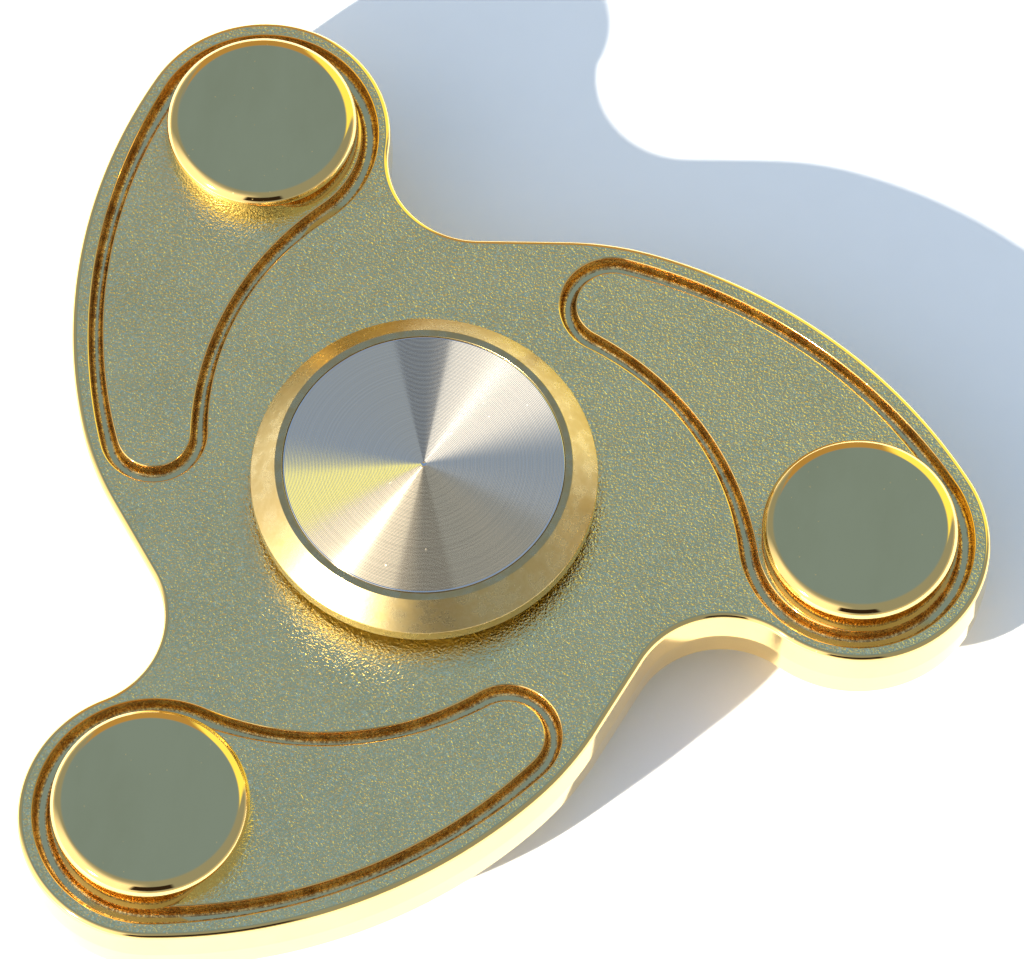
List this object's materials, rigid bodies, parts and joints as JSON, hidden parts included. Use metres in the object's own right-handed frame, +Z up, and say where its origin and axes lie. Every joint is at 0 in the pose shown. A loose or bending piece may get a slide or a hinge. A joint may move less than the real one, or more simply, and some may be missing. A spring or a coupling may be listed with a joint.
{
  "type": "fidget spinner",
  "caption": "Three-armed swirl-shaped metal fidget spinner with round arm weights, a central ball bearing and bevelled finger caps with turned inlays.",
  "frame": {"origin": "on the spin axis, at the centre of the lower finger cap's flat outer face, on which the spinner rests", "axes": "+Z up along the spin axis, out of the upper finger cap; +X from the spin axis through the centre of arm 1's weight"},
  "size_m": [0.0607, 0.065, 0.0129],
  "materials": {
    "plated_body": "gold plated, fine sand-blasted faces, mirror-polished side wall and groove",
    "plated_weight": "gold plated, mirror polished",
    "cap_metal": "satin turned bevel with a polished lip",
    "turned_steel": "turned in fine concentric rings",
    "bearing_steel": "ground",
    "cage_metal": "machined",
    "shield_steel": "stamped",
    "ball_steel": "polished"
  },
  "bodies": {
    "hub": {"bottom_cap": "cap_metal", "bottom_inlay": "turned_steel", "top_cap": "cap_metal", "top_inlay": "turned_steel", "bearing_inner_ring": "bearing_steel"},
    "rotor": {"body": "plated_body", "weight_1": "plated_weight", "weight_2": "plated_weight", "weight_3": "plated_weight", "bearing_outer_ring": "bearing_steel", "bearing_shield_top": "shield_steel", "bearing_shield_bottom": "shield_steel", "bearing_snap_ring_top": "shield_steel", "bearing_snap_ring_bottom": "shield_steel"},
    "cage": {"bearing_cage": "cage_metal"},
    "ball_01": {"bearing_ball_01": "ball_steel"},
    "ball_02": {"bearing_ball_02": "ball_steel"},
    "ball_03": {"bearing_ball_03": "ball_steel"},
    "ball_04": {"bearing_ball_04": "ball_steel"},
    "ball_05": {"bearing_ball_05": "ball_steel"},
    "ball_06": {"bearing_ball_06": "ball_steel"},
    "ball_07": {"bearing_ball_07": "ball_steel"},
    "ball_08": {"bearing_ball_08": "ball_steel"},
    "ball_09": {"bearing_ball_09": "ball_steel"},
    "ball_10": {"bearing_ball_10": "ball_steel"}
  },
  "joints": [
    {"name": "rotor_spin", "type": "hinge", "parent": "hub", "child": "rotor", "pos_m": [0, 0, 0.00645], "axis": [0, 0, 1], "continuous": true},
    {"name": "cage_spin", "type": "hinge", "parent": "hub", "child": "cage", "pos_m": [0, 0, 0.00645], "axis": [0, 0, 1], "continuous": true},
    {"name": "ball_01_roll", "type": "hinge", "parent": "cage", "child": "ball_01", "pos_m": [0.00476, 0, 0.00645], "axis": [0, 0, 1], "continuous": true},
    {"name": "ball_02_roll", "type": "hinge", "parent": "cage", "child": "ball_02", "pos_m": [0.00385, 0.0028, 0.00645], "axis": [0, 0, 1], "continuous": true},
    {"name": "ball_03_roll", "type": "hinge", "parent": "cage", "child": "ball_03", "pos_m": [0.00147, 0.00453, 0.00645], "axis": [0, 0, 1], "continuous": true},
    {"name": "ball_04_roll", "type": "hinge", "parent": "cage", "child": "ball_04", "pos_m": [-0.00147, 0.00453, 0.00645], "axis": [0, 0, 1], "continuous": true},
    {"name": "ball_05_roll", "type": "hinge", "parent": "cage", "child": "ball_05", "pos_m": [-0.00385, 0.0028, 0.00645], "axis": [0, 0, 1], "continuous": true},
    {"name": "ball_06_roll", "type": "hinge", "parent": "cage", "child": "ball_06", "pos_m": [-0.00476, 0, 0.00645], "axis": [0, 0, 1], "continuous": true},
    {"name": "ball_07_roll", "type": "hinge", "parent": "cage", "child": "ball_07", "pos_m": [-0.00385, -0.0028, 0.00645], "axis": [0, 0, 1], "continuous": true},
    {"name": "ball_08_roll", "type": "hinge", "parent": "cage", "child": "ball_08", "pos_m": [-0.00147, -0.00453, 0.00645], "axis": [0, 0, 1], "continuous": true},
    {"name": "ball_09_roll", "type": "hinge", "parent": "cage", "child": "ball_09", "pos_m": [0.00147, -0.00453, 0.00645], "axis": [0, 0, 1], "continuous": true},
    {"name": "ball_10_roll", "type": "hinge", "parent": "cage", "child": "ball_10", "pos_m": [0.00385, -0.0028, 0.00645], "axis": [0, 0, 1], "continuous": true}
  ],
  "couplings": [
    {"joint": "cage_spin", "follows": "rotor_spin", "ratio": 0.58333},
    {"joint": "ball_01_roll", "follows": "rotor_spin", "ratio": 2.9167},
    {"joint": "ball_02_roll", "follows": "rotor_spin", "ratio": 2.9167},
    {"joint": "ball_03_roll", "follows": "rotor_spin", "ratio": 2.9167},
    {"joint": "ball_04_roll", "follows": "rotor_spin", "ratio": 2.9167},
    {"joint": "ball_05_roll", "follows": "rotor_spin", "ratio": 2.9167},
    {"joint": "ball_06_roll", "follows": "rotor_spin", "ratio": 2.9167},
    {"joint": "ball_07_roll", "follows": "rotor_spin", "ratio": 2.9167},
    {"joint": "ball_08_roll", "follows": "rotor_spin", "ratio": 2.9167},
    {"joint": "ball_09_roll", "follows": "rotor_spin", "ratio": 2.9167},
    {"joint": "ball_10_roll", "follows": "rotor_spin", "ratio": 2.9167}
  ]
}
